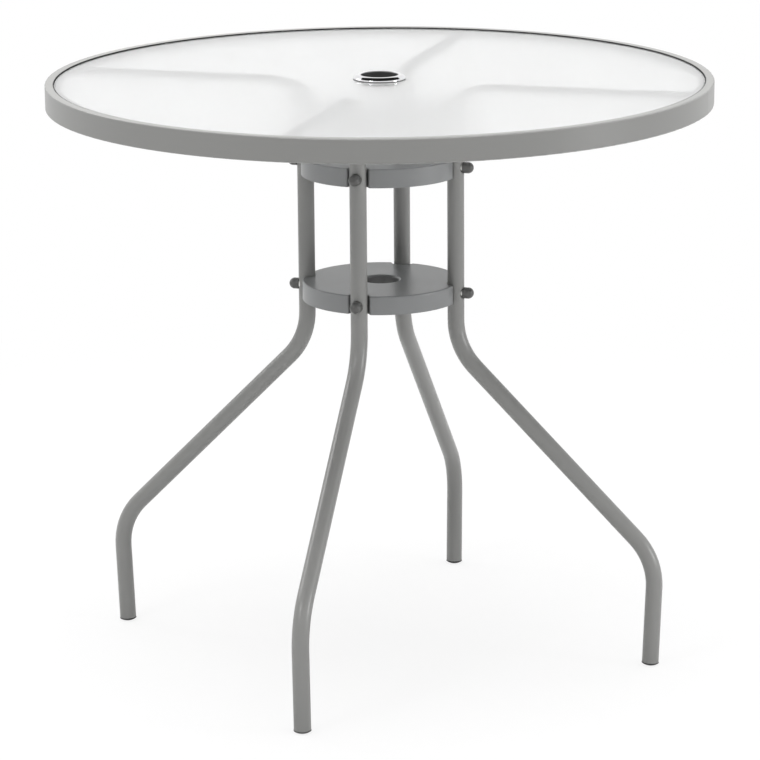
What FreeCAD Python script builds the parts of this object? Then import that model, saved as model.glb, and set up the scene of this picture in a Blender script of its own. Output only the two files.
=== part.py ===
import FreeCAD, Part
import math
import os

# Round garden table with a hole for an umbrella pole. A frosted glass pane lies in a rolled steel rim.
# Four bent tubes are bolted to two pressed steel discs and carry the rim on their arms.
# Millimetres, +Z up. The origin is on the floor, under the middle of the pane.
# The front leg stands on the -Y side, the right leg on the +X side.

# Table top
table_height = 712.0
rim_radius = 400.0
rim_below_arms = 0.8
rim_sheet = 1.2
rim_corner = 1.5
lip_width = 10.0
lip_edge_round = 0.9
ledge_width = 9.0
bottom_return = 10.0

# Glass pane and its seal
glass_thickness = 5.0
glass_below_lip = 1.6
glass_edge_chamfer = 0.8
seal_wall = 0.5
seal_foot_width = 2.5
seal_foot_height = 1.2
seal_below_lip = 0.3
seal_slack = 0.05
glass_slack = 0.2

# Chrome ring for the umbrella pole, with its washer and nut under the glass
pole_hole_radius = 22.3
ring_flange_width = 9.4
ring_crest_width = 4.1
ring_height = 5.4
ring_edge_height = 0.8
ring_sleeve_wall = 2.0
ring_sleeve_slack = 0.7
ring_sleeve_length = 22.0
ring_washer_thickness = 1.0
ring_nut_height = 8.0
ring_nut_wall = 4.5
ring_nut_flange = 2.0
ring_nut_flange_height = 2.5
ring_nut_grips = 12
ring_nut_grip_radius = 1.6
ring_thread_slack = 0.15

# Legs: one bent tube each, from the rim down to the floor
tube_radius = 10.2
tube_wall = 1.2
arm_below_glass = 0.8
column_radius = 94.3
arm_bend_radius = 50.0
splay_height = 385.0
splay_bend_radius = 82.0
knee_height = 134.4
knee_bend_radius = 81.0
knee_overhang = 5.2
foot_circle_radius = 339.0

# Studs that carry the arms on the rim, and their screws
arm_end_gap = 0.6
stud_grip = 28.0
stud_slack = 0.2
stud_neck_below_ledge = 1.4
weld_gap = 0.05
arm_screw_inset = 12.0
screw_head_radius = 5.4
screw_head_side = 1.0
screw_head_dome = 2.0
screw_reach = 12.0

# Foot plugs
foot_head_rim = 0.3
foot_dome = 2.9
foot_dome_under = 0.5
foot_head_side = 0.3
foot_gap_height = 0.8
foot_gap_depth = 0.6
foot_stem_length = 18.0
foot_stem_chamfer = 1.5
foot_slack = 0.1

# Pressed discs that tie the legs together
disc_past_columns = 1.2
disc_depth = 22.6
disc_sheet = 1.5
disc_edge_bend = 0.5
pocket_lip_bend = 0.7
pocket_side_gap = 3.0
pocket_seat_gap = 0.2
disc_hole_radius = 22.0
collar_depth = 14.0
collar_bend = 1.5
collar_seam_width = 3.0
upper_disc_drop = 26.2
lower_disc_lift = 22.7

# Bolts through the legs, with their washers, nuts and plastic caps
bolt_radius = 3.0
bolt_hole_slack = 0.3
thread_slack = 0.05
bolt_head_across = 10.0
bolt_head_height = 4.0
bolt_seat_gap = 0.1
bolt_seat_depth = 3.0
bolt_seat_margin = 0.5
bolt_past_nut = 1.5
washer_radius = 5.9
washer_thickness = 1.6
nut_across = 10.0
nut_height = 5.0
cap_slack = 0.2
cap_wall = 0.85
cap_base_gap = 0.3
cap_base_chamfer = 0.6
cap_side = 7.2
cap_dome = 5.9
cap_room_past_bolt = 0.8

# Heights and radii that follow from the sizes above
rim_inner_wall = rim_radius - lip_width
glass_top = table_height - glass_below_lip
glass_bottom = glass_top - glass_thickness
ledge_top = glass_bottom - seal_foot_height
ledge_radius = rim_inner_wall - ledge_width
seal_outer = rim_inner_wall - seal_slack
seal_inner = seal_outer - seal_wall
glass_radius = seal_inner - glass_slack
sleeve_outer = pole_hole_radius + ring_sleeve_wall
glass_hole_radius = sleeve_outer + ring_sleeve_slack
tube_bore = tube_radius - tube_wall
arm_height = glass_bottom - arm_below_glass - tube_radius
arm_end = ledge_radius - arm_end_gap
rim_bottom = arm_height - tube_radius - rim_below_arms
disc_radius = column_radius + disc_past_columns
disc_edge_round = disc_edge_bend + disc_sheet
pocket_lip_round = pocket_lip_bend + disc_sheet
collar_round = collar_bend + disc_sheet
knee_radius = foot_circle_radius + knee_overhang
foot_head_height = foot_dome + foot_head_side + foot_gap_height
disc_pocket_radius = tube_radius + pocket_side_gap
pocket_back = column_radius - tube_radius - pocket_seat_gap
pocket_centre = pocket_back + disc_pocket_radius
nut_corner = nut_across / 2 / math.cos(math.radians(30))
cap_bore = nut_corner + cap_slack
cap_radius = cap_bore + cap_wall
bolt_seat = column_radius + tube_radius - bolt_seat_depth
bolt_seat_radius = cap_radius + bolt_seat_margin

leg_angles = {"front": -90.0, "right": 0.0, "back": 90.0, "left": 180.0}

UP = FreeCAD.Vector(0, 0, 1)
OUTWARD = FreeCAD.Vector(1, 0, 0)
CENTRE = FreeCAD.Vector(0, 0, 0)


def at(radius, height):
    """Point in the plane of a leg that points along +X."""
    return FreeCAD.Vector(radius, 0, height)


def arc_step(centre, radius, start_degrees, end_degrees):
    """Middle and end of an arc about a centre, for outline_face."""
    def on_circle(degrees):
        turn = math.radians(degrees)
        return (centre[0] + radius * math.cos(turn), centre[1] + radius * math.sin(turn))
    return (on_circle((start_degrees + end_degrees) / 2), on_circle(end_degrees))


def dome_points(edge_radius, edge_height, rise):
    """Middle and crown of a round dome over an edge. A negative rise hangs down."""
    sphere = (edge_radius**2 + rise**2) / (2 * rise)
    centre = edge_height + rise - sphere
    half_turn = math.asin(edge_radius / abs(sphere)) / 2
    middle = (abs(sphere) * math.sin(half_turn), centre + sphere * math.cos(half_turn))
    return middle, (0, edge_height + rise)


def outline_face(start, steps):
    """Closed face of radius and height. A step is an end point, or an arc's middle and end."""
    edges = []
    here = start
    for step in steps + [start]:
        if isinstance(step[0], tuple):
            middle, end = step
            edges.append(Part.Arc(at(*here), at(*middle), at(*end)).toShape())
        else:
            end = step
            edges.append(Part.LineSegment(at(*here), at(*end)).toShape())
        here = end
    return Part.Face(Part.Wire(edges))


def turned(start, steps):
    """Solid of revolution about the vertical axis."""
    return outline_face(start, steps).revolve(CENTRE, UP, 360)


def hex_prism(across_flats, height):
    """Upright hexagonal prism that stands on the origin."""
    corner = across_flats / 2 / math.cos(math.radians(30))
    corners = []
    for side in range(7):
        turn = math.radians(60 * side)
        corners.append(FreeCAD.Vector(corner * math.cos(turn), corner * math.sin(turn), 0))
    return Part.Face(Part.makePolygon(corners)).extrude(UP * height)


def laid_outward(shape, radius, height):
    """Upright shape laid along a leg's outward direction, its base at the given radius."""
    placed = shape.copy()
    placed.rotate(CENTRE, FreeCAD.Vector(0, 1, 0), 90)
    placed.translate(at(radius, height))
    return placed


def turned_to(shape, angle):
    """Copy of a shape turned about the table's axis."""
    placed = shape.copy()
    placed.rotate(CENTRE, UP, angle)
    return placed


def at_each_leg(shape):
    """Group of four separate solids, one at each leg."""
    return Part.makeCompound([turned_to(shape, angle) for angle in leg_angles.values()])


def save(shape, node):
    shape.exportStep("parts/" + node + ".step")


def rim():
    """Rolled steel ring: top lip, inner wall, ledge for the glass and a turned-in bottom edge."""
    lip_inner_face = rim_inner_wall + rim_sheet
    return turned(
        (rim_radius - bottom_return, rim_bottom),
        [
            (rim_radius - rim_corner, rim_bottom),
            arc_step((rim_radius - rim_corner, rim_bottom + rim_corner), rim_corner, -90, 0),
            (rim_radius, table_height - rim_corner),
            arc_step((rim_radius - rim_corner, table_height - rim_corner), rim_corner, 0, 90),
            (rim_inner_wall + lip_edge_round, table_height),
            arc_step(
                (rim_inner_wall + lip_edge_round, table_height - lip_edge_round), lip_edge_round, 90, 180
            ),
            (rim_inner_wall, ledge_top),
            (ledge_radius, ledge_top),
            (ledge_radius, ledge_top - rim_sheet),
            (lip_inner_face, ledge_top - rim_sheet),
            (lip_inner_face, table_height - rim_sheet),
            (rim_radius - rim_sheet, table_height - rim_sheet),
            (rim_radius - rim_sheet, rim_bottom + rim_sheet),
            (rim_radius - bottom_return, rim_bottom + rim_sheet),
        ],
    )


def glass_seal():
    """Vinyl strip of L section: a thin wall beside the glass edge and a foot under it."""
    seal_top = table_height - seal_below_lip
    foot_inner = seal_inner - seal_foot_width
    return turned(
        (foot_inner, ledge_top),
        [
            (seal_outer, ledge_top),
            (seal_outer, seal_top),
            (seal_inner, seal_top),
            (seal_inner, glass_bottom),
            (foot_inner, glass_bottom),
        ],
    )


def glass_pane():
    """Round pane with ground edges and a middle hole."""
    chamfer = glass_edge_chamfer
    return turned(
        (glass_hole_radius + chamfer, glass_bottom),
        [
            (glass_radius - chamfer, glass_bottom),
            (glass_radius, glass_bottom + chamfer),
            (glass_radius, glass_top - chamfer),
            (glass_radius - chamfer, glass_top),
            (glass_hole_radius + chamfer, glass_top),
            (glass_hole_radius, glass_top - chamfer),
            (glass_hole_radius, glass_bottom + chamfer),
        ],
    )


def pole_ring():
    """Chrome ring: a rounded flange on the glass and a sleeve down through its hole."""
    crest = glass_top + ring_height
    crest_radius = pole_hole_radius + ring_crest_width
    flange_radius = pole_hole_radius + ring_flange_width
    edge_top = glass_top + ring_edge_height
    outer_rise = crest - edge_top
    outer_run = flange_radius - crest_radius
    inner_run = crest_radius - pole_hole_radius
    diagonal = math.sqrt(0.5)
    outer_shoulder = (crest_radius + outer_run * diagonal, edge_top + outer_rise * diagonal)
    inner_shoulder = (crest_radius - inner_run * diagonal, crest - inner_run * (1 - diagonal))
    return turned(
        (sleeve_outer, glass_top),
        [
            (flange_radius, glass_top),
            (flange_radius, edge_top),
            (outer_shoulder, (crest_radius, crest)),
            (inner_shoulder, (pole_hole_radius, crest - inner_run)),
            (pole_hole_radius, glass_top - ring_sleeve_length),
            (sleeve_outer, glass_top - ring_sleeve_length),
        ],
    )


def ring_washer():
    """Plastic washer between the glass and the ring's nut."""
    nut_bore = sleeve_outer + ring_thread_slack
    washer_outer = nut_bore + ring_nut_wall + ring_nut_flange
    washer_bottom = glass_bottom - ring_washer_thickness
    return turned(
        (nut_bore, washer_bottom),
        [(washer_outer, washer_bottom), (washer_outer, glass_bottom), (nut_bore, glass_bottom)],
    )


def ring_nut():
    """Hand nut under the glass, with finger grooves round it."""
    bore = sleeve_outer + ring_thread_slack
    body = bore + ring_nut_wall
    flange = body + ring_nut_flange
    top = glass_bottom - ring_washer_thickness
    bottom = top - ring_nut_height
    nut = turned(
        (bore, bottom),
        [
            (body, bottom),
            (body, top - ring_nut_flange_height),
            (flange, top - ring_nut_flange_height),
            (flange, top),
            (bore, top),
        ],
    )
    groove_height = ring_nut_height - ring_nut_flange_height
    groove = Part.makeCylinder(ring_nut_grip_radius, groove_height, at(body, bottom))
    for grip in range(ring_nut_grips):
        nut = nut.cut(turned_to(groove, 360 * grip / ring_nut_grips))
    return nut


def bent_path(corners, radii):
    """Straight runs between the corners, joined by tangent arcs at the inner corners."""
    points = [at(*corner) for corner in corners]
    edges = []
    here = points[0]
    for before, corner, after, radius in zip(points, points[1:], points[2:], radii):
        back = (before - corner).normalize()
        ahead = (after - corner).normalize()
        half_angle = back.getAngle(ahead) / 2
        tangent = radius / math.tan(half_angle)
        bisector = (back + ahead).normalize()
        middle = corner + bisector * (radius / math.sin(half_angle) - radius)
        arc_start = corner + back * tangent
        arc_end = corner + ahead * tangent
        edges.append(Part.LineSegment(here, arc_start).toShape())
        edges.append(Part.Arc(arc_start, middle, arc_end).toShape())
        here = arc_end
    edges.append(Part.LineSegment(here, points[-1]).toShape())
    return Part.Wire(edges)


def round_bar(path, radius):
    """Round section swept along a path."""
    first = path.Edges[0]
    start = first.valueAt(first.FirstParameter)
    direction = first.tangentAt(first.FirstParameter)
    section = Part.Wire(Part.makeCircle(radius, start, direction))
    return path.makePipeShell([section], True, False)


def leg_tube(bolt_heights):
    """One leg that points along +X, pressed in to a flat seat at each bolt's cap."""
    foot_axis = at(knee_overhang, knee_height).normalize()
    foot_end = at(foot_circle_radius, 0) + foot_axis * foot_head_height
    corners = [
        (arm_end, arm_height),
        (column_radius, arm_height),
        (column_radius, splay_height),
        (knee_radius, knee_height),
        (foot_end.x, foot_end.z),
    ]
    path = bent_path(corners, [arm_bend_radius, splay_bend_radius, knee_bend_radius])
    bar = round_bar(path, tube_radius)
    tube = bar.cut(round_bar(path, tube_bore))
    hole_radius = bolt_radius + bolt_hole_slack
    for height in bolt_heights:
        dent = Part.makeCylinder(bolt_seat_radius, 2 * tube_radius, at(bolt_seat, height), OUTWARD)
        cup_start = at(bolt_seat - tube_wall, height)
        cup = Part.makeCylinder(bolt_seat_radius + tube_wall, 2 * tube_radius, cup_start, OUTWARD)
        tube = tube.cut(dent).fuse(cup.common(bar).cut(dent))
        hole_start = at(column_radius - 2 * tube_radius, height)
        tube = tube.cut(Part.makeCylinder(hole_radius, 4 * tube_radius, hole_start, OUTWARD))
    screw_hole_start = at(arm_end - arm_screw_inset, arm_height - 2 * tube_radius)
    return tube.cut(Part.makeCylinder(hole_radius, 2 * tube_radius, screw_hole_start))


def rim_stud():
    """Stud welded inside the rim. Its neck passes under the ledge and its plug fills the arm's end."""
    plug_radius = tube_bore - stud_slack
    plug = Part.makeCylinder(plug_radius, stud_grip, at(arm_end - stud_grip, arm_height), OUTWARD)
    neck_radius = ledge_top - rim_sheet - stud_neck_below_ledge - arm_height
    neck = Part.makeCylinder(neck_radius, rim_radius - arm_end, at(arm_end, arm_height), OUTWARD)
    inside_rim = Part.makeCylinder(rim_radius - rim_sheet - weld_gap, table_height)
    stud = plug.fuse(neck).common(inside_rim)
    screw_start = at(arm_end - arm_screw_inset, arm_height - 2 * tube_radius)
    thread = Part.makeCylinder(bolt_radius + thread_slack, 2 * tube_radius + screw_reach / 2, screw_start)
    return stud.cut(thread)


def arm_screw():
    """Round-headed screw from below, through the arm's wall and into the stud."""
    under_head = arm_height - tube_radius - weld_gap
    head_edge = under_head - screw_head_side
    dome_middle, crown = dome_points(screw_head_radius, head_edge, -screw_head_dome)
    face = outline_face(
        crown,
        [
            (dome_middle, (screw_head_radius, head_edge)),
            (screw_head_radius, under_head),
            (bolt_radius, under_head),
            (bolt_radius, under_head + screw_reach),
            (0, under_head + screw_reach),
        ],
    )
    screw = face.revolve(CENTRE, UP, 360)
    screw.translate(at(arm_end - arm_screw_inset, 0))
    return screw


def foot_plug():
    """Plug in the leg's open end. Its domed head hangs under a narrow gap and is flat on the floor."""
    head_radius = tube_radius + foot_head_rim
    neck_radius = tube_radius - foot_gap_depth
    stem_radius = tube_bore - foot_slack
    stem_top = foot_head_height + foot_stem_length
    dome_middle, crown = dome_points(head_radius, foot_dome, -foot_dome - foot_dome_under)
    plug = turned(
        crown,
        [
            (dome_middle, (head_radius, foot_dome)),
            (head_radius, foot_dome + foot_head_side),
            (neck_radius, foot_dome + foot_head_side),
            (neck_radius, foot_head_height),
            (stem_radius, foot_head_height),
            (stem_radius, stem_top - foot_stem_chamfer),
            (stem_radius - foot_stem_chamfer, stem_top),
            (0, stem_top),
        ],
    )
    lean = math.degrees(math.atan2(knee_overhang, knee_height))
    plug.rotate(CENTRE, FreeCAD.Vector(0, 1, 0), lean)
    plug.translate(at(foot_circle_radius, 0))
    corner = FreeCAD.Vector(foot_circle_radius - 2 * tube_radius, -2 * tube_radius, -2 * tube_radius)
    below_floor = Part.makeBox(4 * tube_radius, 4 * tube_radius, 2 * tube_radius, corner)
    return plug.cut(below_floor)


def pan_block(radius, pocket_radius, depth, top):
    """Round block with a half-round pocket for each leg."""
    block = Part.makeCylinder(radius, depth, at(0, top - depth))
    pocket = Part.makeCylinder(pocket_radius, depth, at(pocket_centre, top - depth))
    for angle in leg_angles.values():
        block = block.cut(turned_to(pocket, angle))
    return block


def upright_edges(block, radius):
    """Upright edges of a block that lie on its outer radius."""
    found = []
    for edge in block.Edges:
        ends = [vertex.Point for vertex in edge.Vertexes]
        if len(ends) == 2 and abs(ends[0].x - ends[1].x) + abs(ends[0].y - ends[1].y) < 0.001:
            if abs(math.hypot(ends[0].x, ends[0].y) - radius) < 0.001:
                found.append(edge)
    return found


def tie_disc(top):
    """Pressed pan: flat top, turned-down wall, four leg pockets and a drawn collar in the middle."""
    block = pan_block(disc_radius, disc_pocket_radius, disc_depth, top)
    block = block.makeFillet(pocket_lip_round, upright_edges(block, disc_radius))
    top_edges = [edge for edge in block.Edges if edge.BoundBox.ZMin > top - 0.001]
    block = block.makeFillet(disc_edge_round, top_edges)
    hollow_radius = disc_radius - disc_sheet
    hollow_depth = disc_depth - disc_sheet
    hollow = pan_block(hollow_radius, disc_pocket_radius + disc_sheet, hollow_depth, top - disc_sheet)
    hollow = hollow.makeFillet(pocket_lip_bend, upright_edges(hollow, hollow_radius))
    pan = block.cut(hollow)

    collar_outer = disc_hole_radius + disc_sheet
    mouth = disc_hole_radius + collar_round
    seam = mouth + collar_seam_width
    turn_centre = (mouth, top - collar_round)
    collar = turned(
        (seam, top),
        [
            (mouth, top),
            arc_step(turn_centre, collar_round, 90, 180),
            (disc_hole_radius, top - collar_depth),
            (collar_outer, top - collar_depth),
            (collar_outer, top - collar_round),
            arc_step(turn_centre, collar_bend, 180, 90),
            (seam, top - disc_sheet),
        ],
    )
    pan = pan.cut(Part.makeCylinder(seam, disc_depth, at(0, top - disc_depth))).fuse(collar)

    bolt_height = top - disc_depth / 2
    hole_start = at(pocket_back - 3 * disc_sheet, bolt_height)
    hole = Part.makeCylinder(bolt_radius + bolt_hole_slack, 6 * disc_sheet, hole_start, OUTWARD)
    for angle in leg_angles.values():
        pan = pan.cut(turned_to(hole, angle))
    return pan.removeSplitter()


def disc_fasteners(height):
    """Bolt, washer, nut and cap of one leg at one disc, along +X."""
    head_seat = pocket_back - disc_sheet - bolt_seat_gap
    washer_start = bolt_seat + bolt_seat_gap
    nut_start = washer_start + washer_thickness
    bolt_end = nut_start + nut_height + bolt_past_nut
    cap_start = nut_start + cap_base_gap

    head = laid_outward(hex_prism(bolt_head_across, bolt_head_height), head_seat - bolt_head_height, height)
    shank = Part.makeCylinder(bolt_radius, bolt_end - head_seat, at(head_seat, height), OUTWARD)
    bolt = head.fuse(shank)

    bore = bolt_radius + thread_slack
    washer = turned((bore, 0), [(washer_radius, 0), (washer_radius, washer_thickness), (bore, washer_thickness)])
    washer = laid_outward(washer, washer_start, height)

    nut = hex_prism(nut_across, nut_height).cut(Part.makeCylinder(bore, nut_height))
    nut = laid_outward(nut, nut_start, height)

    cap_inner_end = bolt_end + cap_room_past_bolt - cap_start
    cap = turned(
        (cap_bore, 0),
        [
            (cap_radius - cap_base_chamfer, 0),
            (cap_radius, cap_base_chamfer),
            (cap_radius, cap_side),
            dome_points(cap_radius, cap_side, cap_dome),
            (0, cap_inner_end),
            (bolt_radius + cap_slack, cap_inner_end),
            (cap_bore, nut_height),
        ],
    )
    cap = laid_outward(cap, cap_start, height)
    return {"bolts": bolt, "washers": washer, "nuts": nut, "nut_caps": cap}


# Where the discs sit on the straight columns, between the arm bend and the splay bend
splay_turn = math.atan2(knee_radius - column_radius, splay_height - knee_height)
column_top = arm_height - arm_bend_radius
column_bottom = splay_height + splay_bend_radius * math.tan(splay_turn / 2)
disc_tops = {
    "upper": column_top - upper_disc_drop,
    "lower": column_bottom + lower_disc_lift + disc_depth,
}

os.makedirs("parts", exist_ok=True)

# Table top
save(rim(), "rim_frame")
save(glass_seal(), "glass_seal")
save(glass_pane(), "glass_top")
save(pole_ring(), "umbrella_ring")
save(ring_washer(), "umbrella_ring_washer")
save(ring_nut(), "umbrella_ring_nut")

# Legs, and the studs, screws and foot plugs at their ends
leg = leg_tube([top - disc_depth / 2 for top in disc_tops.values()])
stud = rim_stud()
plug = foot_plug()
for side, angle in leg_angles.items():
    save(turned_to(leg, angle), "leg_" + side)
    save(turned_to(stud, angle), "rim_stud_" + side)
    save(turned_to(plug, angle), "foot_plug_" + side)
save(at_each_leg(arm_screw()), "arm_screws")

# Discs and the fasteners that clamp the legs to them
for level, top in disc_tops.items():
    save(tie_disc(top), level + "_disc")
    for kind, shape in disc_fasteners(top - disc_depth / 2).items():
        save(at_each_leg(shape), level + "_disc_" + kind)

print("disc tops", {level: round(top, 1) for level, top in disc_tops.items()})
print("arm height", round(arm_height, 1), "column radius", column_radius, "glass radius", glass_radius)
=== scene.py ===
# %% [markdown]
# A round garden table with a frosted glass top is dressed for its picture here. The shapes come from the
# CAD model, which is loaded as a fixed frame. This script adds what a drawing can't hold: the finish of
# each surface, the small marks of making, the light and the camera.

# %% Load the table
import math

import bmesh
import bpy
from mathutils import Matrix, Vector


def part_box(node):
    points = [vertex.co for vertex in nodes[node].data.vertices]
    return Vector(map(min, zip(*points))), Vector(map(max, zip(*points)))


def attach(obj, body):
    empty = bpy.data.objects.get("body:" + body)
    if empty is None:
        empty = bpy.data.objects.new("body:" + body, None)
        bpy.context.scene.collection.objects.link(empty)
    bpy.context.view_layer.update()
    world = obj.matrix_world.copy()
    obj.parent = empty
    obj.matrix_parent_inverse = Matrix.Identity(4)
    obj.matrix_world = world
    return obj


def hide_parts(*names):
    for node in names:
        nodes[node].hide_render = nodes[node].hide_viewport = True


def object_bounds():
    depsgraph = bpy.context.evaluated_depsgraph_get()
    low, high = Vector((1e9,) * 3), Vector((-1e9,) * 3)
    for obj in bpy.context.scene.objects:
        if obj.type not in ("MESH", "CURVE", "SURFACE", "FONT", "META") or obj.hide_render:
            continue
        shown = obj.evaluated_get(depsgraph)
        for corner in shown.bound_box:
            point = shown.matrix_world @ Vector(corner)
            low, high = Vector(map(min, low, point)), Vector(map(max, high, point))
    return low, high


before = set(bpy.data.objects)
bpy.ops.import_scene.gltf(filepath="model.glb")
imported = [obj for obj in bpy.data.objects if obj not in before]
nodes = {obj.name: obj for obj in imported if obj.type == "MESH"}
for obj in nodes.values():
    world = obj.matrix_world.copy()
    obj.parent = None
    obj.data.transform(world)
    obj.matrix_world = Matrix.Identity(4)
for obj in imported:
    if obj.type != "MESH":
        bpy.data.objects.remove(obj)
cad_low, cad_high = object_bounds()
print("nodes:", len(nodes), "size:", [round(v, 4) for v in cad_high - cad_low])

# %% [markdown]
# The picture was taken from a little above the table and from one side, with a long lens. A long lens
# flattens the shape: the round top becomes an ellipse and the four legs keep almost the same scale. The
# camera is placed with a few turns, one after the other, as a photographer would turn the head of a tripod.

# %% Camera
IMAGE_WIDTH = 760
FOCAL_PIXELS = 3529.1
SENSOR = 36.0
CAMERA_DISTANCE = 4.1858
CAMERA_HEIGHT = 1.4205
CAMERA_SIDE = math.radians(16.27)
CAMERA_TILT = math.radians(14.51)
CAMERA_PAN = math.radians(-0.03)
CAMERA_ROLL = math.radians(-0.45)

lens = bpy.data.cameras.new("camera")
lens.sensor_width = SENSOR
lens.lens = FOCAL_PIXELS * SENSOR / IMAGE_WIDTH
camera = bpy.data.objects.new("camera", lens)
camera.matrix_world = (
    Matrix.Rotation(CAMERA_SIDE, 4, "Z")
    @ Matrix.Translation((0, -CAMERA_DISTANCE, CAMERA_HEIGHT))
    @ Matrix.Rotation(-CAMERA_PAN, 4, "Z")
    @ Matrix.Rotation(math.pi / 2 - CAMERA_TILT, 4, "X")
    @ Matrix.Rotation(CAMERA_ROLL, 4, "Z")
)
bpy.context.scene.collection.objects.link(camera)
bpy.context.scene.camera = camera
print("lens:", round(lens.lens, 1), "mm, camera at", [round(v, 2) for v in camera.location])


# %% [markdown]
# Every material below is a small net of nodes. These helpers add a node with its values, so that each net
# reads as a short list. Sockets are found by their names. Only the nodes for maths and mixes have several
# inputs of one name, so theirs are fed in order.

# %% Helpers for nodes
def feed(tree, socket, value):
    """Link a socket to another one, or set it to a plain value."""
    if isinstance(value, bpy.types.NodeSocket):
        tree.links.new(value, socket)
    else:
        socket.default_value = value


def node(tree, kind, settings=None, **values):
    """New node with plain settings, and values or links for its named inputs."""
    made = tree.nodes.new(kind)
    for name, value in (settings or {}).items():
        setattr(made, name, value)
    for name, value in values.items():
        feed(tree, made.inputs[name.replace("_", " ")], value)
    return made


def maths(tree, operation, *terms):
    """Output of a math node, with its terms in order."""
    made = node(tree, "ShaderNodeMath", {"operation": operation})
    for entry, term in zip(made.inputs, terms):
        feed(tree, entry, term)
    return made.outputs[0]


def blended(tree, share, first, second):
    """Shader that goes from the first to the second one with the share."""
    made = node(tree, "ShaderNodeMixShader", Fac=share)
    for entry, shader in zip(made.inputs[1:], (first, second)):
        feed(tree, entry, shader.outputs[0])
    return made.outputs[0]


def new_material(name):
    """Material with an empty net, and its output node."""
    material = bpy.data.materials.new(name)
    material.use_nodes = True
    material.node_tree.nodes.clear()
    return material, material.node_tree.nodes.new("ShaderNodeOutputMaterial")


# %% [markdown]
# The studio is white all round. The camera, and whatever mirrors or lets light through, see a plain white
# background. The light that falls on the table comes from the same world at a lower strength, and from
# a few large soft lamps. The world isn't sampled as a lamp, because then the mirrored rays would count it
# at the lower strength too.

# %% World
WHITE = (1.0, 1.0, 1.0, 1.0)
WORLD_LIGHT = 0.3

world = bpy.data.worlds.new("studio")
bpy.context.scene.world = world
world.use_nodes = True
tree = world.node_tree
tree.nodes.clear()
path = node(tree, "ShaderNodeLightPath").outputs
seen = maths(tree, "MAXIMUM", path["Is Camera Ray"], path["Is Transmission Ray"])
shown = maths(tree, "MAXIMUM", seen, path["Is Glossy Ray"])
light = node(tree, "ShaderNodeBackground", Color=WHITE, Strength=WORLD_LIGHT)
backdrop = node(tree, "ShaderNodeBackground", Color=WHITE, Strength=1.0)
node(tree, "ShaderNodeOutputWorld", Surface=blended(tree, shown, light, backdrop))
world.cycles.sampling_method = "NONE"
bpy.context.scene.view_settings.view_transform = "Standard"
print("world: white to the eye, light of", WORLD_LIGHT)


# %% [markdown]
# The lamps are large panels, as in a product studio. A wide one hangs above the table, and the pale floor
# throws its light back up at the legs. Weaker ones in front and on the sides give the round tubes a light
# side and a dark side. Rays that come through the frosted glass see the white studio instead of the
# lamps, because such rays meet a bright lamp so rarely that they would only leave grains of noise.

# %% Lamps
LAMP_DISTANCE = 2.9
TOP_LAMP_HEIGHT = 3.0


def facing(place, target):
    """Place and turn of a flat thing that looks from its place at a target."""
    aim = Vector(target) - Vector(place)
    return Matrix.Translation(place) @ aim.to_track_quat("-Z", "Y").to_matrix().to_4x4()


def panel_lamp(name, place, size, watts):
    """Square panel that looks at the table's middle."""
    data = bpy.data.lights.new(name, "AREA")
    data.shape = "SQUARE"
    data.size = size
    data.energy = watts
    lamp = bpy.data.objects.new(name, data)
    lamp.matrix_world = facing(place, (0, 0, cad_high.z / 2))
    lamp.visible_transmission = False
    bpy.context.scene.collection.objects.link(lamp)
    print(name, size, "m wide,", watts, "W")
    return lamp


def round_table(azimuth_degrees, distance, height):
    """Place round the table, as the camera sees it: 0 is behind the camera, 90 is on its right."""
    turn = CAMERA_SIDE + math.radians(azimuth_degrees)
    return (distance * math.sin(turn), -distance * math.cos(turn), height)


top_panel = panel_lamp("top_panel", (0.0, 0.0, TOP_LAMP_HEIGHT), size=3.0, watts=130.0)
panel_lamp("front_panel", round_table(-42, LAMP_DISTANCE, height=2.5), size=0.8, watts=23.0)
panel_lamp("right_panel", round_table(72, LAMP_DISTANCE, height=0.9), size=0.7, watts=22.0)
left_panel = panel_lamp("left_panel", round_table(-122, LAMP_DISTANCE, height=2.1), size=0.9, watts=12.0)
top_panel.visible_glossy = False
left_panel.visible_glossy = False


# %% [markdown]
# The floor is a large pale sheet. It is part of the studio and not of the table, and so are the cards
# further down. Such pieces are made by one helper.

# %% Floor sheet
FLOOR_SIZE = 30.0


def stage_piece(name, build):
    """Stage piece from a few mesh operations. It belongs to the studio and not to the table."""
    work = bmesh.new()
    build(work)
    mesh = bpy.data.meshes.new(name)
    work.to_mesh(mesh)
    work.free()
    piece = bpy.data.objects.new(name, mesh)
    bpy.context.scene.collection.objects.link(piece)
    return piece


def floor_sheet(work):
    bmesh.ops.create_grid(work, x_segments=1, y_segments=1, size=FLOOR_SIZE / 2)


floor = stage_piece("floor", floor_sheet)
print("floor:", FLOOR_SIZE, "m wide")

# %% [markdown]
# To the camera the floor is as white as the background, and only the soft shadow under the table shows
# where it is. So its material is a mix: plain paper that takes light and shadow, and an even white glow.
# The share of paper falls to nothing a little way out, by the distance from the table. The table's paint
# mirrors the paper near the table, and further out the same white as the background.

# %% Floor paint
FLOOR_PALE = (0.9, 0.9, 0.9, 1.0)
SHADOW_SHARE = 0.16
SHADOW_FADES_FROM = 0.45
SHADOW_ENDS_AT = 1.7
MIRRORED_FROM = 0.6
MIRRORED_WHITE_AT = 2.6

floor_paint, output = new_material("floor_pale")
tree = floor_paint.node_tree
paper = node(tree, "ShaderNodeBsdfDiffuse", Color=FLOOR_PALE)
glow = node(tree, "ShaderNodeEmission", Color=WHITE, Strength=1.0)
place = node(tree, "ShaderNodeTexCoord").outputs["Object"]
away = node(tree, "ShaderNodeVectorMath", {"operation": "LENGTH"}, Vector=place).outputs["Value"]


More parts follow.
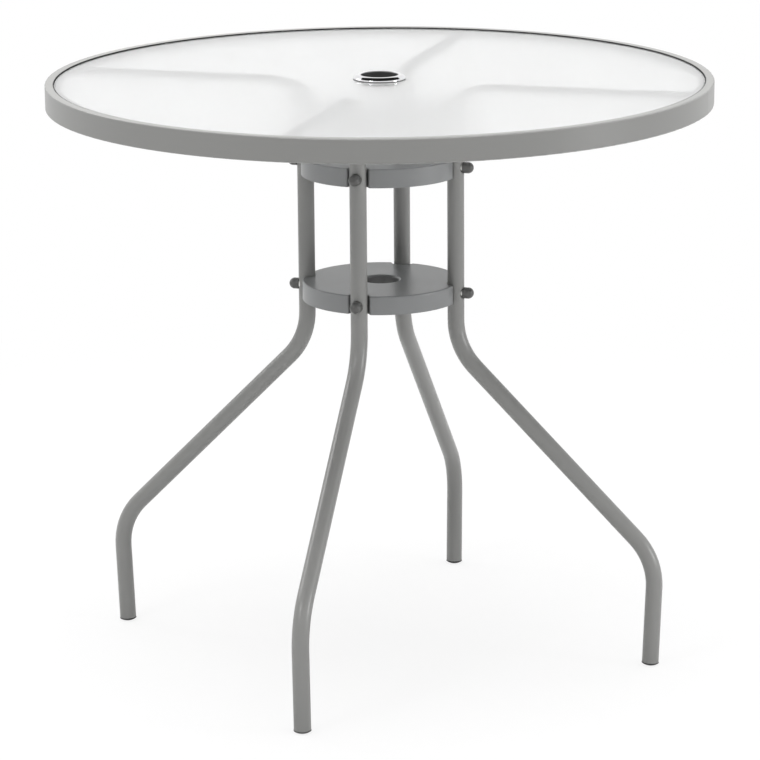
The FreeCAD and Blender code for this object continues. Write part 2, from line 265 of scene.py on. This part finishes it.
def whitening(start, end, least):
    """Share of white, which grows smoothly from the least to 1 between two distances."""
    limits = {"From_Min": start, "From_Max": end, "To_Min": least, "To_Max": 1.0}
    smooth = {"interpolation_type": "SMOOTHSTEP"}
    return node(tree, "ShaderNodeMapRange", smooth, Value=away, **limits).outputs["Result"]


direct_white = whitening(SHADOW_FADES_FROM, SHADOW_ENDS_AT, 1.0 - SHADOW_SHARE)
mirrored_white = whitening(MIRRORED_FROM, MIRRORED_WHITE_AT, 0.0)
path = node(tree, "ShaderNodeLightPath").outputs
to_camera = maths(tree, "MULTIPLY", path["Is Camera Ray"], direct_white)
to_mirrors = maths(tree, "MULTIPLY", path["Is Glossy Ray"], mirrored_white)
seen = maths(tree, "MAXIMUM", to_camera, to_mirrors)
share = maths(tree, "MAXIMUM", seen, path["Is Transmission Ray"])
feed(tree, output.inputs["Surface"], blended(tree, share, paper, glow))
floor.data.materials.append(floor_paint)
print("shadow:", SHADOW_SHARE, "of the floor, gone at", SHADOW_ENDS_AT, "m")

# %% [markdown]
# Chrome has no colour of its own. In an all-white studio it would be white too, and its shape would be
# lost. Photographers hang black cards round the set, which the metal mirrors as dark lines. One wide round
# card above the table and a little to the right does it here: the sloping flange of the pole ring mirrors
# it, and its crest and its edge mirror the white beside it. A bright white card on the left draws a fine
# light line along the rounded top edge of the rim. Only mirrored rays see the cards, and they throw no
# shadow.

# %% Cards
CARD_PLACE = round_table(50, 0.5, 3.2)
CARD_RADIUS = 3.0
CARD_CORNERS = 96
CARD_BLACK = (0.02, 0.02, 0.02, 1.0)
WHITE_CARD_PLACE = round_table(-115, 2.7, 2.2)
WHITE_CARD_SIZE = 1.3
WHITE_CARD_GLOW = 6.0


def black_sheet(work):
    place = Matrix.Translation(CARD_PLACE)
    bmesh.ops.create_circle(work, cap_ends=True, segments=CARD_CORNERS, radius=CARD_RADIUS, matrix=place)


def white_sheet(work):
    turn = facing(WHITE_CARD_PLACE, (0, 0, cad_high.z))
    bmesh.ops.create_grid(work, x_segments=1, y_segments=1, size=WHITE_CARD_SIZE / 2, matrix=turn)


def mirrored_only(card, name, shader, **values):
    """Hide a card from all but mirrored rays, and give it its finish."""
    card.visible_camera = False
    card.visible_diffuse = False
    card.visible_transmission = False
    card.visible_shadow = False
    paint, output = new_material(name)
    finish = node(paint.node_tree, shader, **values)
    feed(paint.node_tree, output.inputs["Surface"], finish.outputs[0])
    card.data.materials.append(paint)
    print(card.name, "in", name)


black_card = stage_piece("black_card", black_sheet)
mirrored_only(black_card, "card_black", "ShaderNodeBsdfDiffuse", Color=CARD_BLACK)
white_card = stage_piece("white_card", white_sheet)
mirrored_only(white_card, "card_white", "ShaderNodeEmission", Strength=WHITE_CARD_GLOW)


# %% [markdown]
# Powder coat is paint that was sprayed on as dust and baked. It flows almost smooth, but a fine orange
# peel stays in it, and its gloss is a little uneven. Mouldings and plating have the same look at other
# scales. So this effect is built once as a group of nodes. It puts out a tint, a roughness and a height,
# and each material feeds them to its own shader.

# %% Group for fine grain
GRAIN_DETAIL = 2.0
CLOUD_DETAIL = 4.0
CLOUD_SCALE = 9.0
UNEVENNESS = 0.06
NOISE_MIDDLE = 0.5
ROUGHNESS_SWING = 2.0


def socket(group, name, way, kind, value=None):
    """New input or output of a group, with a value where its users don't give one."""
    made = group.interface.new_socket(name=name, in_out=way, socket_type=kind)
    if value is not None:
        made.default_value = value


def surface_group():
    """Fine grain for a surface: a tint near 1, a roughness near the given one and a height."""
    group = bpy.data.node_groups.new("fine_grain", "ShaderNodeTree")
    socket(group, "Colour", "INPUT", "NodeSocketColor")
    socket(group, "Roughness", "INPUT", "NodeSocketFloat")
    socket(group, "Grain Scale", "INPUT", "NodeSocketFloat")
    socket(group, "Cloud Scale", "INPUT", "NodeSocketFloat", CLOUD_SCALE)
    socket(group, "Unevenness", "INPUT", "NodeSocketFloat", UNEVENNESS)
    socket(group, "Colour", "OUTPUT", "NodeSocketColor")
    socket(group, "Roughness", "OUTPUT", "NodeSocketFloat")
    socket(group, "Height", "OUTPUT", "NodeSocketFloat")
    inside = node(group, "NodeGroupInput").outputs
    place = node(group, "ShaderNodeTexCoord").outputs["Object"]
    noise = "ShaderNodeTexNoise"
    grain = node(group, noise, Vector=place, Scale=inside["Grain Scale"], Detail=GRAIN_DETAIL)
    cloud = node(group, noise, Vector=place, Scale=inside["Cloud Scale"], Detail=CLOUD_DETAIL)
    centred = maths(group, "SUBTRACT", cloud.outputs["Fac"], NOISE_MIDDLE)
    swing = maths(group, "MULTIPLY", centred, inside["Unevenness"])
    gain = maths(group, "ADD", swing, 1.0)
    tint = node(group, "ShaderNodeVectorMath", {"operation": "SCALE"}, Vector=inside["Colour"], Scale=gain)
    rough = maths(group, "MULTIPLY_ADD", swing, ROUGHNESS_SWING, inside["Roughness"])
    node(group, "NodeGroupOutput", Colour=tint.outputs[0], Roughness=rough, Height=grain.outputs["Fac"])
    return group


fine_grain = surface_group()
print("group:", fine_grain.name)


# %% [markdown]
# Some finishes change at a known place: in the pole's hole, at a foot, or from one side of the pane to the
# other. Such a change could be painted on the mesh, but a mask that is reckoned from the place needs no
# picture and stays sharp close up. A second group puts out two masks, one by the distance from the pole's
# axis and one by height.

# %% Group for places
def place_group():
    """Masks that go from 0 to 1 between two distances from the pole's axis, and between two heights."""
    group = bpy.data.node_groups.new("place_masks", "ShaderNodeTree")
    for name in ("Radius From", "Radius To", "Height From", "Height To"):
        socket(group, name, "INPUT", "NodeSocketFloat")
    socket(group, "Radius Mask", "OUTPUT", "NodeSocketFloat")
    socket(group, "Height Mask", "OUTPUT", "NodeSocketFloat")
    inside = node(group, "NodeGroupInput").outputs
    place = node(group, "ShaderNodeTexCoord").outputs["Object"]
    flat = node(group, "ShaderNodeVectorMath", {"operation": "MULTIPLY"}, Vector=place)
    flat.inputs[1].default_value = (1.0, 1.0, 0.0)
    radius = node(group, "ShaderNodeVectorMath", {"operation": "LENGTH"}, Vector=flat.outputs[0])
    height = node(group, "ShaderNodeSeparateXYZ", Vector=place)
    outside = node(group, "NodeGroupOutput")
    for word, value in (("Radius", radius.outputs["Value"]), ("Height", height.outputs["Z"])):
        limits = {"From_Min": inside[word + " From"], "From_Max": inside[word + " To"]}
        mask = node(group, "ShaderNodeMapRange", Value=value, **limits)
        feed(group, outside.inputs[word + " Mask"], mask.outputs["Result"])
    return group


place_masks = place_group()
print("group:", place_masks.name)


# %% [markdown]
# Most finishes of this table are opaque and grained, so one helper builds them from a colour, a roughness
# and the scale and strength of their grain. The others place the masks, mix two colours, darken a finish
# at one place and put it on the parts.
# A mix node has a pair of inputs for each kind of value, all of them named alike, so those for colours
# are found by their places.

# %% Helpers for materials
GRAIN_DEPTH = 0.0002
MIX_COLOURS = (6, 7)
MIXED_COLOUR = 2


def masks(tree, **limits):
    """The masks by place, with their limits in metres."""
    return node(tree, "ShaderNodeGroup", {"node_tree": place_masks}, **limits).outputs


def mixed(tree, mask, first, second):
    """Colour that goes from the first to the second one with a mask."""
    made = node(tree, "ShaderNodeMix", {"data_type": "RGBA"}, Factor=mask)
    for entry, colour in zip(MIX_COLOURS, (first, second)):
        feed(tree, made.inputs[entry], colour)
    return made.outputs[MIXED_COLOUR]


def grained(name, colour, roughness, grain, bump, **shader):
    """Opaque material with the fine grain on it."""
    material, output = new_material(name)
    tree = material.node_tree
    values = {"Colour": colour, "Roughness": roughness, "Grain_Scale": grain}
    skin = node(tree, "ShaderNodeGroup", {"node_tree": fine_grain}, **values).outputs
    relief = node(tree, "ShaderNodeBump", Height=skin["Height"], Strength=bump, Distance=GRAIN_DEPTH)
    surface = node(
        tree,
        "ShaderNodeBsdfPrincipled",
        Base_Color=skin["Colour"],
        Roughness=skin["Roughness"],
        Normal=relief.outputs["Normal"],
        **shader,
    )
    feed(tree, output.inputs["Surface"], surface.outputs[0])
    return material


def darken(material, dark, mask, **limits):
    """Give a grained material a dark colour where one of the masks is 0."""
    tree = material.node_tree
    base = tree.nodes["Principled BSDF"].inputs["Base Color"]
    coat = base.links[0].from_socket
    feed(tree, base, mixed(tree, masks(tree, **limits)[mask], dark, coat))


def dress(material, *names):
    """Give CAD nodes a material."""
    for name in names:
        nodes[name].data.materials.clear()
        nodes[name].data.materials.append(material)
    print(material.name, "on", ", ".join(names))


# %% [markdown]
# The rim and the legs have one coat of grey paint, warmer than a pure grey by a hair. The discs' coat is
# darker, a little cooler and glossier. Both coats come from one helper, so they share their grain. Inside
# the pole's collar in each disc the coat is near black, within a mask round the pole's axis: painted shade
# for the deep, narrow hole.

# %% Paint
SIDES = ("front", "right", "back", "left")
FRAME_GREY = (0.238, 0.238, 0.231, 1.0)
DISC_GREY = (0.196, 0.201, 0.203, 1.0)
COLLAR_PAINTED_SHADE = (0.05, 0.05, 0.05, 1.0)
COLLAR_SHADE_FULL_TO = 0.0222
COLLAR_SHADE_GONE_AT = 0.0232
COAT = {"grain": 900.0, "bump": 0.04}

frame_coat = grained("frame_coat", FRAME_GREY, roughness=0.33, **COAT)
disc_coat = grained("disc_coat", DISC_GREY, roughness=0.34, **COAT, Specular_IOR_Level=0.7)
# Painted shade: near black inside the pole's collar.
darken(disc_coat, COLLAR_PAINTED_SHADE, "Radius Mask", Radius_From=COLLAR_SHADE_FULL_TO, Radius_To=COLLAR_SHADE_GONE_AT)
dress(frame_coat, "rim_frame", *["leg_" + side for side in SIDES], *["rim_stud_" + side for side in SIDES])
dress(disc_coat, "upper_disc", "lower_disc")

# %% [markdown]
# The small parts have four finishes: a soft black seal, a white nut and washer under the glass, grey caps
# on the bolts, and bright zinc plating on what is screwed. Each could have a net of its own, but at this
# size only colour, gloss and a little grain tell them apart, so the same helper makes all four.

# %% Small parts
SEAL_BLACK = (0.008, 0.008, 0.008, 1.0)
NUT_WHITE = (0.88, 0.88, 0.87, 1.0)
CAP_GREY = (0.082, 0.082, 0.079, 1.0)
ZINC = (0.62, 0.62, 0.6, 1.0)

black_vinyl = grained(
    "black_vinyl", SEAL_BLACK, roughness=0.55, grain=600.0, bump=0.1, Specular_IOR_Level=0.25
)
white_plastic = grained("white_plastic", NUT_WHITE, roughness=0.4, grain=500.0, bump=0.1)
grey_plastic = grained("grey_plastic", CAP_GREY, roughness=0.3, grain=500.0, bump=0.12)
zinc_plate = grained("zinc_plate", ZINC, roughness=0.28, grain=300.0, bump=0.1, Metallic=1.0)
dress(black_vinyl, "glass_seal")
dress(white_plastic, "umbrella_ring_washer", "umbrella_ring_nut")
dress(grey_plastic, "upper_disc_nut_caps", "lower_disc_nut_caps")
for level in ("upper", "lower"):
    dress(zinc_plate, level + "_disc_bolts", level + "_disc_washers", level + "_disc_nuts")
dress(zinc_plate, "arm_screws")

# %% [markdown]
# A plug closes the foot of each leg. Its domed head is grey like the paint, and in the gap above it a dark
# line of painted shade runs round. The plug leans a little, but over so small a piece the height alone
# tells well enough where the gap is.

# %% Foot plugs
FOOT_GREY = (0.14, 0.14, 0.136, 1.0)
GAP_PAINTED_SHADE = (0.012, 0.012, 0.012, 1.0)
GAP_LOW = 0.0031
GAP_SOFT = 0.0004

foot_plastic = grained("foot_plastic", FOOT_GREY, roughness=0.4, grain=500.0, bump=0.1)
# Painted shade: a dark line in the gap above the head.
darken(foot_plastic, GAP_PAINTED_SHADE, "Height Mask", Height_From=GAP_LOW, Height_To=GAP_LOW - GAP_SOFT)
dress(foot_plastic, *["foot_plug_" + side for side in SIDES])

# %% [markdown]
# The pole ring is a turned part, so it is drawn as a half section. The CAD model has a ring of the same
# height, width and hole, but its mesh has few facets, and chrome shows every one of them. So a finer ring
# stands for it here: a low upright edge, a straight slope and a crest with wide roundings, each of which
# mirrors another part of the studio.

# %% Section of the pole ring
POLE_HOLE = 0.0223
SLEEVE_WALL = 0.002
CREST_WIDTH = 0.0054
EDGE_HEIGHT = 0.0023
EDGE_ROUND = 0.0005
CREST_OUTER_ROUND = 0.0016
CREST_INNER_ROUND = 0.0014
SLEEVE_ROUND = 0.0004

ring_low, ring_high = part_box("umbrella_ring")
SLEEVE_OUTSIDE = POLE_HOLE + SLEEVE_WALL
RING_OUTSIDE = ring_high.x
GLASS_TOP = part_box("glass_top")[1].z

# Each corner has a radius, a height and the width of its rounding
ring_section = [
    (SLEEVE_OUTSIDE, GLASS_TOP, 0.0),
    (RING_OUTSIDE, GLASS_TOP, 0.0),
    (RING_OUTSIDE, GLASS_TOP + EDGE_HEIGHT, EDGE_ROUND),
    (POLE_HOLE + CREST_WIDTH, ring_high.z, CREST_OUTER_ROUND),
    (POLE_HOLE, ring_high.z, CREST_INNER_ROUND),
    (POLE_HOLE, ring_low.z, SLEEVE_ROUND),
    (SLEEVE_OUTSIDE, ring_low.z, SLEEVE_ROUND),
]
print("ring section:", len(ring_section), "corners, out to", round(RING_OUTSIDE, 4), "m")

# %% [markdown]
# The section is spun round the pole's axis, as on a lathe, which turns each corner into a ring of edges.
# The roundings could be drawn in the section, but it is shorter to bevel these edges after the spin, each
# ring by its own width. Smooth shading hides the facets that are left, and edges that are still sharp
# keep their line.

# %% Pole ring
SPIN_STEPS = 160
ROUNDING_STEPS = 6
SAME_PLACE = 1e-6
SHARP_FROM = math.radians(50)


def edges_at(work, radius, height):
    """The ring of edges that the spin made from one corner."""
    return [
        edge
        for edge in work.edges
        if all(
            abs(vert.co.xy.length - radius) < SAME_PLACE and abs(vert.co.z - height) < SAME_PLACE
            for vert in edge.verts
        )
    ]


def spun_piece(name, section):
    """Closed turned piece from the corners of its half section."""
    work = bmesh.new()
    corners = [work.verts.new((radius, 0, height)) for radius, height, _ in section]
    sides = [work.edges.new((a, b)) for a, b in zip(corners, corners[1:] + corners[:1])]
    bmesh.ops.spin(
        work,
        geom=corners + sides,
        cent=(0, 0, 0),
        axis=(0, 0, 1),
        angle=2 * math.pi,
        steps=SPIN_STEPS,
        use_merge=True,
    )
    for radius, height, width in section:
        if width == 0.0:
            continue
        bmesh.ops.bevel(
            work,
            geom=edges_at(work, radius, height),
            offset=width,
            offset_type="OFFSET",
            affect="EDGES",
            segments=ROUNDING_STEPS,
            profile=0.5,
            material=-1,
            clamp_overlap=True,
        )
    bmesh.ops.recalc_face_normals(work, faces=work.faces)
    mesh = bpy.data.meshes.new(name)
    work.to_mesh(mesh)
    work.free()
    mesh.shade_smooth()
    mesh.set_sharp_from_angle(angle=SHARP_FROM)
    piece = bpy.data.objects.new(name, mesh)
    bpy.context.scene.collection.objects.link(piece)
    return piece


pole_ring = spun_piece("pole_ring", ring_section)
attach(pole_ring, "root")
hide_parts("umbrella_ring")
print("pole ring:", len(pole_ring.data.polygons), "faces")

# %% [markdown]
# The ring is chrome plated. Poles rub the inside of the narrow sleeve dull, so it is matt, and its colour
# there is near black: painted shade for the deep bore. The mask between the two is the distance from the
# ring's axis. A fine dark line of painted shade runs round the foot of the flange, where it sits on the
# glass.

# %% Chrome
CHROME = (0.8, 0.8, 0.81, 1.0)
CHROME_PAINTED_SHADE = (0.025, 0.025, 0.025, 1.0)
CHROME_ROUGHNESS = 0.04
DULL_ROUGHNESS = 0.5
SLEEVE_SHADE_FULL_TO = POLE_HOLE + 0.00005
CHROME_FROM = POLE_HOLE + 0.0006
FOOT_SHADE_LINE_TO = GLASS_TOP + 0.0009
FOOT_SHADE_LINE_SOFT = 0.0002

chrome, output = new_material("bright_chrome")
tree = chrome.node_tree
unshaded_masks = masks(
    tree,
    Radius_From=SLEEVE_SHADE_FULL_TO,
    Radius_To=CHROME_FROM,
    Height_From=FOOT_SHADE_LINE_TO - FOOT_SHADE_LINE_SOFT,
    Height_To=FOOT_SHADE_LINE_TO,
)
# Painted shade: near black and matt in the sleeve and in a fine line at the flange's foot.
unshaded_chrome = maths(tree, "MULTIPLY", unshaded_masks["Radius Mask"], unshaded_masks["Height Mask"])
gloss = node(tree, "ShaderNodeMapRange", Value=unshaded_chrome, To_Min=DULL_ROUGHNESS, To_Max=CHROME_ROUGHNESS)
surface = node(
    tree,
    "ShaderNodeBsdfPrincipled",
    Base_Color=mixed(tree, unshaded_chrome, CHROME_PAINTED_SHADE, CHROME),
    Metallic=unshaded_chrome,
    Roughness=gloss.outputs["Result"],
)
feed(tree, output.inputs["Surface"], surface.outputs[0])
pole_ring.data.materials.append(chrome)
dress(chrome, "umbrella_ring")

# %% [markdown]
# The pane is one block of glass whose underside is frosted. The top is only satin. A frosted face bends
# each ray a little differently, so what touches the glass shows clearly and what lies deeper melts away.
# One closed mesh does both faces: the roughness is read from the height on the pane.

# %% Glass
GLASS_TINT = (0.993, 1.0, 1.0, 1.0)
TOP_ROUGHNESS = 0.16
FROST_ROUGHNESS = 0.3
PANE_STEP = 0.0001

pane_low, pane_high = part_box("glass_top")
PANE_MIDDLE = (pane_low.z + pane_high.z) / 2

frosted_glass, output = new_material("frosted_glass")
tree = frosted_glass.node_tree
on_top = masks(tree, Height_From=PANE_MIDDLE - PANE_STEP, Height_To=PANE_MIDDLE + PANE_STEP)["Height Mask"]
frost = node(tree, "ShaderNodeMapRange", Value=on_top, To_Min=FROST_ROUGHNESS, To_Max=TOP_ROUGHNESS)
surface = node(
    tree,
    "ShaderNodeBsdfPrincipled",
    Base_Color=GLASS_TINT,
    Roughness=frost.outputs["Result"],
    IOR=1.5,
    Transmission_Weight=0.86,
)
feed(tree, output.inputs["Surface"], surface.outputs[0])
dress(frosted_glass, "glass_top")
